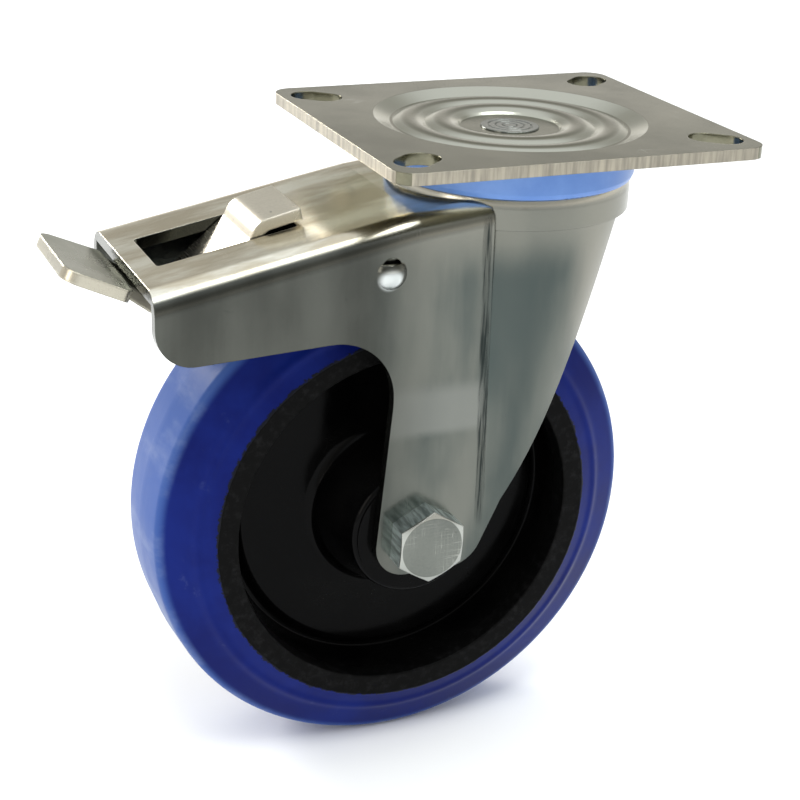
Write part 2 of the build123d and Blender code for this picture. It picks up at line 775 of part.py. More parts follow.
with BuildPart() as brake_carrier:
    with BuildSketch(side_view):
        with BuildLine():
            Polyline(
                over_tyre(web_front_x, web_radius),
                (bridge_rear_x, bridge_top - bridge_thickness),
                (cheek_front_x, bridge_top - bridge_thickness),
                (cheek_front_x, bridge_top + bridge_thickness),
                (carrier_pivot_x + cheek_boss / 2, carrier_pivot_z + cheek_boss),
                (carrier_pivot_x - cheek_boss / 2, carrier_pivot_z + cheek_boss),
                (lever_pivot_x + cheek_boss / 2, lever_pivot_z + cheek_boss),
                (lever_pivot_x - cheek_boss, lever_pivot_z + cheek_boss / 2),
                (lever_pivot_x - cheek_boss, lever_pivot_z - cheek_boss / 2),
                (lever_pivot_x, lever_pivot_z - cheek_boss),
                over_tyre(web_rear_x, web_radius),
            )
            ThreePointArc(
                over_tyre(web_rear_x, web_radius),
                over_tyre((web_rear_x + web_front_x) / 2, web_radius),
                over_tyre(web_front_x, web_radius),
            )
        make_face()
    extrude(amount=cheek_inner + cheek_thickness, both=True)
    with BuildSketch(side_view):
        Rectangle(4 * wheel_radius, 4 * wheel_radius)
    extrude(amount=cheek_inner, both=True, mode=Mode.SUBTRACT)
    # Web between the cheeks
    with BuildSketch(side_view):
        with BuildLine():
            lower = ThreePointArc(
                over_tyre(web_rear_x, web_radius),
                over_tyre((web_rear_x + web_front_x) / 2, web_radius),
                over_tyre(web_front_x, web_radius),
            )
            upper = ThreePointArc(
                over_tyre(web_rear_x, web_radius + carrier_web),
                over_tyre((web_rear_x + web_front_x) / 2, web_radius + carrier_web),
                over_tyre(web_front_x, web_radius + carrier_web),
            )
            Line(lower @ 0, upper @ 0)
            Line(lower @ 1, upper @ 1)
        make_face()
    extrude(amount=cheek_mid, both=True)
    # Bridge and tooth
    with BuildSketch(side_view):
        with BuildLine():
            Polyline(
                (bridge_rear_x, bridge_top),
                (bridge_rear_x, bridge_top - bridge_thickness),
                (bridge_front_x, bridge_top - bridge_thickness),
                (bridge_front_x, bridge_top),
                close=True,
            )
        make_face()
    extrude(amount=cheek_mid, both=True)
    with BuildSketch(Plane.XY.offset(bridge_top)):
        with Locations((bridge_front_x - tooth_thickness / 2, 0)):
            Rectangle(tooth_thickness, tooth_width)
    extrude(amount=lock_under - tooth_gap - bridge_top)
    # Pin holes
    with BuildSketch(side_view):
        with Locations((carrier_pivot_x, carrier_pivot_z)):
            Circle(brake_pin_radius + pin_running_gap)
        with Locations((lever_pivot_x, lever_pivot_z)):
            Circle(brake_pin_radius + seat_gap)
    extrude(amount=cheek_inner + cheek_thickness, both=True, mode=Mode.SUBTRACT)
    # Rivet holes
    with BuildSketch(rivet_plane):
        with GridLocations(shoe_rivet_spacing, 0, 2, 1):
            Circle(shoe_rivet_radius + seat_gap)
    extrude(amount=shoe_thickness + 2 * carrier_web, mode=Mode.SUBTRACT)
brake_carrier.part.label = "brake_carrier"

# Brake shoe, a curved steel plate that bears on the tread
with BuildPart() as brake_shoe:
    with BuildSketch(side_view):
        with BuildLine():
            lower = ThreePointArc(
                over_tyre(shoe_rear_x, shoe_radius),
                over_tyre(shoe_mid_x, shoe_radius),
                over_tyre(shoe_front_x, shoe_radius),
            )
            upper = ThreePointArc(
                over_tyre(shoe_rear_x, web_radius),
                over_tyre(shoe_mid_x, web_radius),
                over_tyre(shoe_front_x, web_radius),
            )
            Line(lower @ 0, upper @ 0)
            Line(lower @ 1, upper @ 1)
        make_face()
    extrude(amount=shoe_half_width, both=True)
    with BuildSketch(rivet_plane):
        with GridLocations(shoe_rivet_spacing, 0, 2, 1):
            Circle(shoe_rivet_radius + seat_gap)
    extrude(amount=shoe_thickness + 2 * carrier_web, mode=Mode.SUBTRACT)
brake_shoe.part.label = "brake_shoe"

# Rivets that hold the shoe under the web
with BuildPart() as shoe_rivets:
    with BuildSketch(rivet_plane):
        with GridLocations(shoe_rivet_spacing, 0, 2, 1):
            Circle(shoe_rivet_radius)
    extrude(amount=shoe_thickness + carrier_web + rivet_head)
    with BuildSketch(rivet_plane.offset(shoe_thickness + carrier_web + seat_gap)):
        with GridLocations(shoe_rivet_spacing, 0, 2, 1):
            Circle(rivet_head_radius)
    extrude(amount=rivet_head)
shoe_rivets.part.label = "shoe_rivets"

# Pivot pin of the carrier, held in the pockets of the arm's walls
with BuildPart() as carrier_pin:
    with BuildSketch(side_view):
        with Locations((carrier_pivot_x, carrier_pivot_z)):
            Circle(brake_pin_radius)
    extrude(amount=half_outer - carrier_pin_recess, both=True)
carrier_pin.part.label = "carrier_pin"

# Return spring, coiled round the carrier's pivot; one leg lies on the bridge
coil_radius = brake_pin_radius + spring_coil_gap + spring_wire / 2


def leg_angle(end, side):
    # Angle round the coil at which a straight leg leaves it for the given end
    across = end[0] - carrier_pivot_x
    up = end[1] - carrier_pivot_z
    half_turn = math.acos(coil_radius / math.hypot(across, up))
    return math.degrees(math.atan2(up, across) + side * half_turn)


lower_leg = (bridge_rear_x, bridge_top + spring_wire / 2 + spring_leg_gap)
upper_leg = (spring_leg_x, carrier_pivot_z + spring_leg_rise)
coil_start = leg_angle(lower_leg, -1)
coil_turns = spring_turns + (coil_start - leg_angle(upper_leg, 1)) / 360
coil_length = coil_turns * spring_pitch
pivot_line = Axis((carrier_pivot_x, 0, carrier_pivot_z), (0, 1, 0))
with BuildPart() as carrier_spring:
    with BuildLine() as wire:
        coil = Helix(
            spring_pitch,
            coil_length,
            coil_radius,
            center=(carrier_pivot_x, -coil_length / 2, carrier_pivot_z),
            direction=(0, 1, 0),
            mode=Mode.PRIVATE,
        ).rotate(pivot_line, 90 - coil_start)
        add(coil)
        Line((lower_leg[0], (coil @ 0).Y, lower_leg[1]), coil @ 0)
        Line(coil @ 1, (upper_leg[0], (coil @ 1).Y, upper_leg[1]))
    spring_path = wire.wire()
    with BuildSketch(Plane(origin=spring_path @ 0, z_dir=spring_path % 0)):
        Circle(spring_wire / 2)
    sweep(path=spring_path, is_frenet=True)
carrier_spring.part.label = "carrier_spring"

# Pivot pin of the lever, riveted at both ends
with BuildPart() as lever_pin:
    with BuildSketch(side_view):
        with Locations((lever_pivot_x, lever_pivot_z)):
            Circle(brake_pin_radius)
    extrude(amount=cheek_inner + cheek_thickness + rivet_head, both=True)
    for side in (-1, 1):
        pin_head_face = Plane(
            origin=(lever_pivot_x, side * (cheek_inner + cheek_thickness + seat_gap), lever_pivot_z),
            x_dir=(1, 0, 0),
            z_dir=(0, side, 0),
        )
        with BuildSketch(pin_head_face):
            Circle(brake_pin_radius + rivet_head)
        extrude(amount=rivet_head)
lever_pin.part.label = "lever_pin"

# Brake lever: a bent strip that passes under the end of the arm, with a wide toe outside it
# and a hump that stands up through the window
toe_length = math.hypot(toe_end_x - toe_bend_x, toe_end_z - toe_bend_z)
toe_plane = Plane(
    origin=(toe_bend_x, 0, toe_bend_z),
    x_dir=(toe_end_x - toe_bend_x, 0, toe_end_z - toe_bend_z),
    z_dir=(toe_end_z - toe_bend_z, 0, toe_bend_x - toe_end_x),
)
with BuildPart() as brake_lever:
    with BuildSketch(side_view):
        with BuildLine():
            FilletPolyline(
                (toe_end_x, toe_end_z),
                (toe_bend_x, toe_bend_z),
                (neck_x, neck_z),
                (heel_x, heel_z),
                (fold_x, fold_z),
                (hump_x, hump_z),
                (tip_x, tip_z),
                radius=[toe_bend, neck_bend, heel_bend, fold_bend, hump_bend],
            )
        trace(line_width=lever_sheet)
    extrude(amount=lever_half_width, both=True)
    with BuildSketch(toe_plane):
        outline(
            (0, -toe_half_width, toe_inner_corner),
            (toe_length, -toe_end_half_width, toe_corner),
            (toe_length, toe_end_half_width, toe_corner),
            (0, toe_half_width, toe_inner_corner),
        )
    extrude(amount=lever_sheet / 2, both=True)
    # Ears for the pivot pin
    for side in (-1, 1):
        ear_plane = Plane(
            origin=(0, side * (lever_half_width - lever_ear), 0), x_dir=(1, 0, 0), z_dir=(0, -1, 0)
        )
        with BuildSketch(ear_plane):
            with Locations((lever_pivot_x, lever_pivot_z)):
                Circle(ear_boss)
            with BuildLine():
                Polyline(
                    (lever_pivot_x - ear_boss, lever_pivot_z),
                    (lever_pivot_x + ear_boss, lever_pivot_z),
                    (lever_pivot_x + ear_boss, ramp_z(lever_pivot_x + ear_boss)),
                    (lever_pivot_x - ear_boss, ramp_z(lever_pivot_x - ear_boss)),
                    close=True,
                )
            make_face()
        extrude(amount=-side * lever_ear)
    with BuildSketch(side_view):
        with Locations((lever_pivot_x, lever_pivot_z)):
            Circle(brake_pin_radius + pin_running_gap)
    extrude(amount=lever_half_width, both=True, mode=Mode.SUBTRACT)
brake_lever.part.label = "brake_lever"

pieces = [
    top_plate.part,
    king_pin.part,
    lower_race.part,
    lock_ring.part,
    upper_balls.part,
    lower_balls.part,
    dust_seal.part,
    fork.part,
    axle_bolt.part,
    axle_nut.part,
    nut_insert.part,
    axle_tube.part,
    roller_cage.part,
    rollers.part,
    wheel_rim.part,
    tyre.part,
    hub_caps["hub_cap_near"],
    hub_caps["hub_cap_far"],
    brake_carrier.part,
    brake_shoe.part,
    shoe_rivets.part,
    carrier_pin.part,
    carrier_spring.part,
    lever_pin.part,
    brake_lever.part,
]
for piece in pieces:
    export_step(piece, f"parts/{piece.label}.step")
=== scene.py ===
import bpy
import json
import numpy as np
from mathutils import Matrix


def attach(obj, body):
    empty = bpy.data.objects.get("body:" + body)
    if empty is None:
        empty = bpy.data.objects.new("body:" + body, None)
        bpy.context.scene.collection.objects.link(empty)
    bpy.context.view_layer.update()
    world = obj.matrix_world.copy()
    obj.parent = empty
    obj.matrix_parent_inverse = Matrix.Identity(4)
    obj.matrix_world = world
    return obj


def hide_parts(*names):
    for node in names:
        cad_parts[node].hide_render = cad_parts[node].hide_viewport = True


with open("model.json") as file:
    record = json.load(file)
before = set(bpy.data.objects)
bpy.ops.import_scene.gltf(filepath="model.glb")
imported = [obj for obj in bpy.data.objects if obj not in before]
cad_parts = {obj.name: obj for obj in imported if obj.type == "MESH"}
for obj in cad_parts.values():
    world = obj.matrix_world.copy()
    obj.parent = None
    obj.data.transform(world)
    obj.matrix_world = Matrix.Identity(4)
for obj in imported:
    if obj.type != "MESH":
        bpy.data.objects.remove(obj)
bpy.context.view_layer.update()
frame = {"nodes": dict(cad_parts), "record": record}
nodes = frame["nodes"]
print("frame loaded,", len(nodes), "nodes")

# lengths on the castor are in millimetres; the camera, the lamps and the floor are in metres
mm = 0.001
axleX, axleZ = -30.5, -95.0

# camera, from the photograph's perspective
cameraLook = {
    "place": (-0.19035, -0.37000, 0.09796),
    "right": (0.9195, -0.3912, 0.0387),
    "back": (-0.3751, -0.8437, 0.3841),
    "lens": 78.88,
    "sensor": 36.0,
    "clip": (0.01, 20),
}


def poseMatrix(right, up, back, place):
    # matrix of a camera or lamp: its own x, y and z axes as columns, then its place
    return Matrix([[right[i], up[i], back[i], place[i]] for i in range(3)] + [[0, 0, 0, 1]])


def aimCamera(look):
    # up is the cross product of back and right, and right is then squared to both
    back = np.array(look["back"]) / np.linalg.norm(look["back"])
    up = np.cross(back, look["right"])
    up /= np.linalg.norm(up)
    data = bpy.data.cameras.new("photoCamera")
    data.lens = look["lens"]
    data.sensor_width = look["sensor"]
    data.clip_start, data.clip_end = look["clip"]
    camera = bpy.data.objects.new("photoCamera", data)
    bpy.context.collection.objects.link(camera)
    camera.matrix_world = poseMatrix(np.cross(up, back), up, back, look["place"])
    bpy.context.scene.camera = camera


# shader helpers
def addNode(tree, kind, settings=None, inputs=None):
    # an input given as a socket is linked, anything else is the socket's own value
    node = tree.nodes.new("ShaderNode" + kind)
    for key, value in (settings or {}).items():
        setattr(node, key, value)
    for key, value in (inputs or {}).items():
        if isinstance(value, bpy.types.NodeSocket):
            tree.links.new(value, node.inputs[key])
        else:
            node.inputs[key].default_value = value
    return node


def newMaterial(name, fixed):
    # fixed holds the numbers that are the same all over the surface
    material = bpy.data.materials.new(name)
    material.use_nodes = True
    shader = material.node_tree.nodes["Principled BSDF"]
    for key, value in fixed.items():
        shader.inputs[key].default_value = value
    return material, material.node_tree, shader


def joinShader(tree, shader, colour, rough, normal):
    for key, value in (("Base Color", colour), ("Roughness", rough), ("Normal", normal)):
        tree.links.new(value, shader.inputs[key])


def placed(tree, scale=(1, 1, 1), turn=(0, 0, 0), place=(0, 0, 0)):
    # the piece's own coordinates, stretched, turned or moved
    coords = addNode(tree, "TexCoord").outputs["Object"]
    inputs = {"Vector": coords, "Scale": scale, "Rotation": turn, "Location": place}
    return addNode(tree, "Mapping", inputs=inputs).outputs[0]


def axes(tree, vector):
    return addNode(tree, "SeparateXYZ", inputs={0: vector}).outputs


def noise(tree, vector, scale, detail, rough):
    inputs = {"Vector": vector, "Scale": scale, "Detail": detail, "Roughness": rough}
    return addNode(tree, "TexNoise", inputs=inputs).outputs["Fac"]


def calc(tree, operation, first, second=0.0, clamp=False):
    settings = {"operation": operation, "use_clamp": clamp}
    return addNode(tree, "Math", settings, {0: first, 1: second}).outputs[0]


def plus(tree, first, second):
    return calc(tree, "ADD", first, second)


def minus(tree, first, second):
    return calc(tree, "SUBTRACT", first, second)


def times(tree, first, *others):
    for other in others:
        first = calc(tree, "MULTIPLY", first, other)
    return first


def unsigned(tree, value):
    return calc(tree, "ABSOLUTE", value)


def distance(tree, first, second):
    # root of the sum of both squares
    return calc(tree, "SQRT", plus(tree, times(tree, first, first), times(tree, second, second)))


def between(tree, value, low, high, toLow=0.0, toHigh=1.0):
    # goes smoothly from toLow, where the value is low, to toHigh, where it is high
    settings = {"interpolation_type": "SMOOTHSTEP"}
    inputs = {"Value": value, "From Min": low, "From Max": high, "To Min": toLow, "To Max": toHigh}
    return addNode(tree, "MapRange", settings, inputs).outputs[0]


def betweenMm(tree, length, low, high, toLow=0.0, toHigh=1.0):
    # the same for a length, with low and high in millimetres
    return between(tree, length, low * mm, high * mm, toLow, toHigh)


def stretchMm(tree, length, rise, fall):
    # 1 along a stretch of the length; rise and fall are the two soft ends of it, in millimetres
    return times(tree, betweenMm(tree, length, *rise), betweenMm(tree, length, *fall, 1, 0))


def mixColour(tree, factor, first, second):
    return addNode(tree, "Mix", {"data_type": "RGBA"}, {0: factor, 6: first, 7: second}).outputs[2]


def mixNumber(tree, factor, first, second):
    # first where the factor is 0, second where it is 1
    return plus(tree, times(tree, first, minus(tree, 1.0, factor)), times(tree, factor, second))


def bump(tree, height, strength, relief, normal=None):
    # relief is how high the pattern stands, in millimetres
    inputs = {"Height": height, "Strength": strength, "Distance": relief * mm}
    if normal:
        inputs["Normal"] = normal
    return addNode(tree, "Bump", inputs=inputs).outputs[0]


def softEdges(tree, radius):
    # sharp corners shade as if they were rounded by this radius
    return addNode(tree, "Bevel", {"samples": 4}, {"Radius": radius * mm}).outputs[0]


def surfaceNormal(tree):
    # the piece's own normal, which turns with it
    return axes(tree, addNode(tree, "TexCoord").outputs["Normal"])


def wheelRadius(tree):
    # distance from the axle line, and place along it
    x, along, z = axes(tree, placed(tree, place=(-axleX * mm, 0, -axleZ * mm)))
    return distance(tree, x, z), along


print("camera and helpers ready")

# pressed stainless sheet, faintly clouded, with hair scratches and small dark pits. A scale is the noise's own
# Scale, and a range gives the two noise values between which a pattern fades in
sheetLook = {
    "bright": (0.270, 0.270, 0.236, 1),
    "dull": (0.185, 0.190, 0.166, 1),
    "roughness": (0.15, 0.27),
    "cloudScale": 34,
    "cloudRange": (0.30, 0.70),
    "grainScale": 1500,
    "grainShare": 0.2,
    "grainHeight": 0.008,
    "waveScale": 30,
    "waveHeight": 0.10,
    "edgeRadius": 0.4,
    "scratch": (0.62, 0.61, 0.56, 1),
    "scratchStrength": 0.5,
    "scratchRough": 0.25,
    "scratchWidth": 0.010,
    "scratchPatches": 70,
    "scratchRange": (0.58, 0.72),
    "scratchTurns": ((0.1, 0.5, 0.2), (0.2, -0.9, 0.1)),
    "scratchScales": ((1500, 40, 26), (26, 40, 1500)),
    "pit": (0.07, 0.07, 0.06, 1),
    "pitStrength": 0.5,
    "pitScale": 420,
    "pitRange": (0.70, 0.78),
}
turnedLook = {
    **sheetLook,
    "bright": (0.235, 0.245, 0.225, 1),
    "dull": (0.165, 0.175, 0.160, 1),
    "waveHeight": 0.03,
}
ballLook = {
    **sheetLook,
    "bright": (0.62, 0.62, 0.62, 1),
    "dull": (0.52, 0.52, 0.52, 1),
    "roughness": (0.05, 0.12),
    "scratchStrength": 0.0,
}
wireLook = {**sheetLook, "bright": (0.40, 0.40, 0.40, 1)}


def scratches(tree, flat, look):
    # noise drawn out along two directions and cut to hair lines, only here and there
    lines = []
    for turn, scale in zip(look["scratchTurns"], look["scratchScales"]):
        long = noise(tree, placed(tree, scale=scale, turn=turn), 1.0, detail=1, rough=0.4)
        middle = unsigned(tree, minus(tree, long, 0.5))
        lines.append(between(tree, middle, 0.0, look["scratchWidth"], 1, 0))
    patches = noise(tree, flat, look["scratchPatches"], detail=3, rough=0.6)
    where = between(tree, patches, *look["scratchRange"])
    return times(tree, calc(tree, "MAXIMUM", *lines), where, look["scratchStrength"])


def sheetSteel(name, look, ownDetail=None):
    # ownDetail changes the finished colour, roughness and normal for one piece
    material, tree, shader = newMaterial(name, {"Metallic": 1.0})
    flat = placed(tree)
    cloud = noise(tree, flat, look["cloudScale"], detail=5, rough=0.55)
    grain = noise(tree, flat, look["grainScale"], detail=2, rough=0.6)
    share = look["grainShare"]
    tone = plus(tree, times(tree, cloud, 1 - share), times(tree, grain, share))
    colour = mixColour(tree, between(tree, tone, *look["cloudRange"]), look["dull"], look["bright"])
    lines = scratches(tree, flat, look)
    colour = mixColour(tree, lines, colour, look["scratch"])
    pits = between(tree, noise(tree, flat, look["pitScale"], detail=2, rough=0.5), *look["pitRange"])
    colour = mixColour(tree, times(tree, pits, look["pitStrength"]), colour, look["pit"])
    smooth, worn = look["roughness"]
    rough = between(tree, tone, *look["cloudRange"], worn, smooth)
    rough = plus(tree, rough, times(tree, lines, look["scratchRough"]))
    waves = noise(tree, flat, look["waveScale"], detail=2, rough=0.5)
    normal = bump(tree, waves, 1.0, look["waveHeight"], softEdges(tree, look["edgeRadius"]))
    normal = bump(tree, grain, 1.0, look["grainHeight"], normal)
    if ownDetail:
        colour, rough, normal = ownDetail(tree, look, colour, rough, normal)
    joinShader(tree, shader, colour, rough, normal)
    return material


# the plate: its sheared rim is paler and rougher than its faces, with upright tear marks, and a painted
# highlight lies on the tilted slopes of its dished middle
plateLook = {
    **sheetLook,
    "bright": (0.215, 0.208, 0.148, 1),
    "dull": (0.150, 0.145, 0.102, 1),
    # painted highlight colour for the dished slopes
    "dish": (0.50, 0.50, 0.43, 1),
    "dishStrength": 0.85,
    "dishRadius": 36,
    "dishTilt": (0.965, 0.998),
    "rim": (0.46, 0.42, 0.34, 1),
    "rimShade": (0.27, 0.25, 0.21, 1),
    "rimRoughness": 0.42,
    "rimFrom": (46.1, 41.1),
    "rimTilt": 0.5,
    "tearScale": 700,
    "tearRange": (0.3, 0.7),
}


def shearedRimAndDishHighlight(tree, look, colour, rough, normal):
    # level is 1 on a flat face and 0 on an upright one
    x, y = axes(tree, placed(tree))[:2]
    level = unsigned(tree, surfaceNormal(tree)[2])
    inside = calc(tree, "LESS_THAN", distance(tree, x, y), look["dishRadius"] * mm)
    # painted highlight on the tilted slopes inside the dished middle
    slope = between(tree, level, *look["dishTilt"], look["dishStrength"], 0)
    colour = mixColour(tree, times(tree, slope, inside), colour, look["dish"])
    overX = calc(tree, "GREATER_THAN", unsigned(tree, x), look["rimFrom"][0] * mm)
    overY = calc(tree, "GREATER_THAN", unsigned(tree, y), look["rimFrom"][1] * mm)
    upright = calc(tree, "LESS_THAN", level, look["rimTilt"])
    rim = times(tree, calc(tree, "MAXIMUM", overX, overY), upright)
    tears = noise(tree, placed(tree, scale=(1, 1, 0.08)), look["tearScale"], detail=3, rough=0.6)
    sheared = mixColour(tree, between(tree, tears, *look["tearRange"]), look["rimShade"], look["rim"])
    colour = mixColour(tree, rim, colour, sheared)
    return colour, mixNumber(tree, rim, rough, look["rimRoughness"]), normal


# the fork: drawn streaks run down its flanks, with light and shade painted over it: a painted highlight on the
# upper faces, darker flanks with the arm's darkest as painted shade, painted reflections in a belt across each
# leg, along its front edge and on the crown, a painted highlight on the shoulder, painted shade on the turned
# front and in a band along the crease between leg and turned front, broken into upright drag marks, and a
# painted highlight on the bulge under each carrier pin. Places are in millimetres: x for armAt; distance in
# front of the crease for edgeAt, beltFront, turnedStart and turnedEnd; x and z for creaseTop, creaseFoot and
# bulgeAt; z for the rest
forkLook = {
    **sheetLook,
    "flankTilt": (0.72, 0.95),
    "topTilt": (0.55, 0.90),
    # painted highlight on the upper faces, with duller streaks
    "topHighlight": (0.950, 0.920, 0.800, 1),
    "topHighlightDull": (0.640, 0.570, 0.430, 1),
    "topHighlightStrength": 0.9,
    "topScale": 130,
    "topRange": (0.35, 0.68),
    "flankStrength": 0.90,
    # painted shade: the arm's flanks are darker than the legs'
    "arm": (0.080, 0.083, 0.074, 1),
    "armShade": (0.038, 0.040, 0.036, 1),
    "armAt": (-50, -24),
    "leg": (0.165, 0.170, 0.150, 1),
    "legShade": (0.062, 0.078, 0.075, 1),
    "wideScale": 75,
    "wideHeight": 0.10,
    "fineScale": 620,
    "fineHeight": 0.012,
    "fineShare": 0.10,
    "streakRange": (0.28, 0.68),
    # painted reflection in a belt across each leg
    "belt": (0.215, 0.222, 0.205, 1),
    "beltReflectionStrength": 0.8,
    "beltFront": (-1, 2),
    "beltFoot": (-69.5, -66.5),
    "beltTop": (-59.0, -54.0),
    # painted reflection along the front edge
    "edge": (0.290, 0.275, 0.235, 1),
    "edgeReflectionStrength": 0.85,
    "edgeAt": (19, 30),
    "edgeFoot": (-60, -45),
    # painted reflection on the crown
    "crown": (0.250, 0.245, 0.210, 1),
    "crownStrength": 0.80,
    "crownAt": (-32, -17),
    # painted highlight on the shoulder
    "shoulder": (0.700, 0.680, 0.600, 1),
    "shoulderStrength": 0.8,
    "shoulderAt": (-14.5, -12.5),
    # painted shade on the turned front
    "turnedShadeStrength": 0.85,
    "turnedStart": (0, 2),
    "turnedEnd": (10, 26),
    "turnedFoot": (-85, -40),
    "turnedTop": (-32, -21),
    "turnedLeft": (0.25, 0.2),
    # painted shade along the crease, broken into drag marks
    "creaseShade": (0.022, 0.028, 0.027, 1),
    "creaseTop": (-17.5, -20),
    "creaseFoot": (-15.5, -90),
    "creaseHalf": 1.0,
    "creaseSoft": 0.4,
    "creaseRough": 0.15,
    "marksFoot": (-96, -88),
    "marksTop": (-19, -14),
    "marksScale": 1500,
    "marksRange": (0.38, 0.60),
    "marksStrength": (0.35, 0.95),
    # painted highlight on the bulge under each carrier pin
    "bulgeHighlight": (0.60, 0.63, 0.62, 1),
    "bulgeAt": (-41.5, -28.4),
    "bulgeRadii": (1.7, 3.3),
}


def aheadOfCrease(tree, look, x, z):
    # x less the crease's own x at this height, on the straight line through its two ends
    (topX, topZ), (footX, footZ) = look["creaseTop"], look["creaseFoot"]
    lean = (footX - topX) / (footZ - topZ)
    return minus(tree, x, plus(tree, times(tree, z, lean), (topX - lean * topZ) * mm))


def legColourAndPaintedLight(tree, look, z, ahead, streaks):
    # painted reflections in a paler belt across the flat of each leg, along the front edge and on the crown,
    # and a painted highlight on the shoulder
    colour = mixColour(tree, streaks, look["legShade"], look["leg"])
    # painted reflection in a belt across the leg
    belt = stretchMm(tree, z, look["beltFoot"], look["beltTop"])
    belt = times(tree, belt, betweenMm(tree, ahead, *look["beltFront"], look["beltReflectionStrength"], 0))
    colour = mixColour(tree, belt, colour, look["belt"])
    # painted reflection along the front edge
    edge = betweenMm(tree, ahead, *look["edgeAt"], 0, look["edgeReflectionStrength"])
    edge = times(tree, edge, betweenMm(tree, z, *look["edgeFoot"]))
    colour = mixColour(tree, edge, colour, look["edge"])
    # painted reflection on the crown and painted highlight on the shoulder
    for place in ("crown", "shoulder"):
        share = betweenMm(tree, z, *look[place + "At"], 0, look[place + "Strength"])
        colour = mixColour(tree, share, colour, look[place])
    return colour


def paintedCreaseShade(tree, look, z, ahead, fine, flank):
    # painted shade in a band along the crease, as wide as the fine streaks are strong, broken into upright
    # drag marks
    reach = times(tree, fine, 2 * look["creaseHalf"] * mm)
    soft = look["creaseSoft"]
    creaseShadeMarks = betweenMm(tree, minus(tree, unsigned(tree, ahead), reach), -soft, soft, 1, 0)
    gaps = noise(tree, placed(tree, scale=(1, 1, 0.05)), look["marksScale"], detail=2, rough=0.6)
    broken = between(tree, gaps, *look["marksRange"], *look["marksStrength"])
    return times(tree, creaseShadeMarks, stretchMm(tree, z, look["marksFoot"], look["marksTop"]), flank, broken)


def drawnSheetAndPaintedLight(tree, look, colour, rough, normal):
    x, _, z = axes(tree, placed(tree))
    facing = surfaceNormal(tree)
    flank = between(tree, unsigned(tree, facing[1]), *look["flankTilt"])
    topHighlight = between(tree, facing[2], *look["topTilt"])
    ahead = aheadOfCrease(tree, look, x, z)
    # wide streaks under narrow ones run down the flanks
    wide = noise(tree, placed(tree, scale=(1, 1, 0.35)), look["wideScale"], detail=3, rough=0.45)
    fine = noise(tree, placed(tree, scale=(1, 1, 0.08)), look["fineScale"], detail=3, rough=0.6)
    share = look["fineShare"]
    streaks = plus(tree, times(tree, wide, 1 - share), times(tree, fine, share))
    streaks = between(tree, streaks, *look["streakRange"])
    # painted shade on the flanks: darker than the upper faces, and the arm's darkest
    arm = mixColour(tree, streaks, look["armShade"], look["arm"])
    leg = legColourAndPaintedLight(tree, look, z, ahead, streaks)
    flanksWithPaintedLight = mixColour(tree, betweenMm(tree, x, *look["armAt"], 1, 0), leg, arm)
    colour = mixColour(tree, look["flankStrength"], colour, flanksWithPaintedLight)
    # along the top they run with the arm
    # a painted highlight on the upper faces, streaked along the arm
    drawn = noise(tree, placed(tree, scale=(0.25, 1, 1)), look["topScale"], detail=4, rough=0.6)
    paintedTopHighlight = mixColour(tree, between(tree, drawn, *look["topRange"]), look["topHighlightDull"], look["topHighlight"])
    colour = mixColour(tree, times(tree, topHighlight, look["topHighlightStrength"]), colour, paintedTopHighlight)
    # painted shade: just in front of the crease the sheet is darkest, and it clears towards the edge, the foot
    # and the crown
    turnedShade = stretchMm(tree, ahead, look["turnedStart"], look["turnedEnd"])
    turnedShade = times(tree, turnedShade, betweenMm(tree, z, *look["turnedFoot"], look["turnedLeft"][0], 1))
    turnedShade = times(tree, turnedShade, betweenMm(tree, z, *look["turnedTop"], 1, look["turnedLeft"][1]))
    colour = mixColour(tree, times(tree, turnedShade, look["turnedShadeStrength"]), colour, look["legShade"])
    # painted shade along the crease
    creaseShadeMarks = paintedCreaseShade(tree, look, z, ahead, fine, flank)
    colour = mixColour(tree, creaseShadeMarks, colour, look["creaseShade"])
    # a painted highlight is a round spot on the bulge on each flank
    bulgeX, bulgeZ = look["bulgeAt"]
    near = distance(tree, minus(tree, x, bulgeX * mm), minus(tree, z, bulgeZ * mm))
    colour = mixColour(tree, betweenMm(tree, near, *look["bulgeRadii"], 1, 0), colour, look["bulgeHighlight"])
    normal = bump(tree, fine, times(tree, flank, 0.8), look["fineHeight"], normal)
    normal = bump(tree, wide, times(tree, flank, 0.7), look["wideHeight"], normal)
    return colour, plus(tree, rough, times(tree, creaseShadeMarks, look["creaseRough"])), normal


# the bolt: a painted reflection on its flats and a painted highlight on the chamfer round the turned face of
# its head
boltLook = {
    **sheetLook,
    "bright": (0.190, 0.200, 0.180, 1),
    "dull": (0.130, 0.138, 0.126, 1),
    "waveHeight": 0.03,
    # painted reflection on the flats, with duller streaks
    "flat": (0.80, 0.90, 0.90, 1),
    "flatShade": (0.30, 0.36, 0.36, 1),
    "flatRough": 0.22,
    "flatTilt": (0.2, 0.5),
    "rolledScale": 900,
    "rolledRange": (0.35, 0.65),
    # painted highlight on the chamfer
    "chamferHighlight": (0.40, 0.41, 0.38, 1),
    "chamferFrom": (7.65, 7.80),
    "chamferBehind": -32.4,
    "ringScale": 1400,
    "ringHeight": 0.020,
}


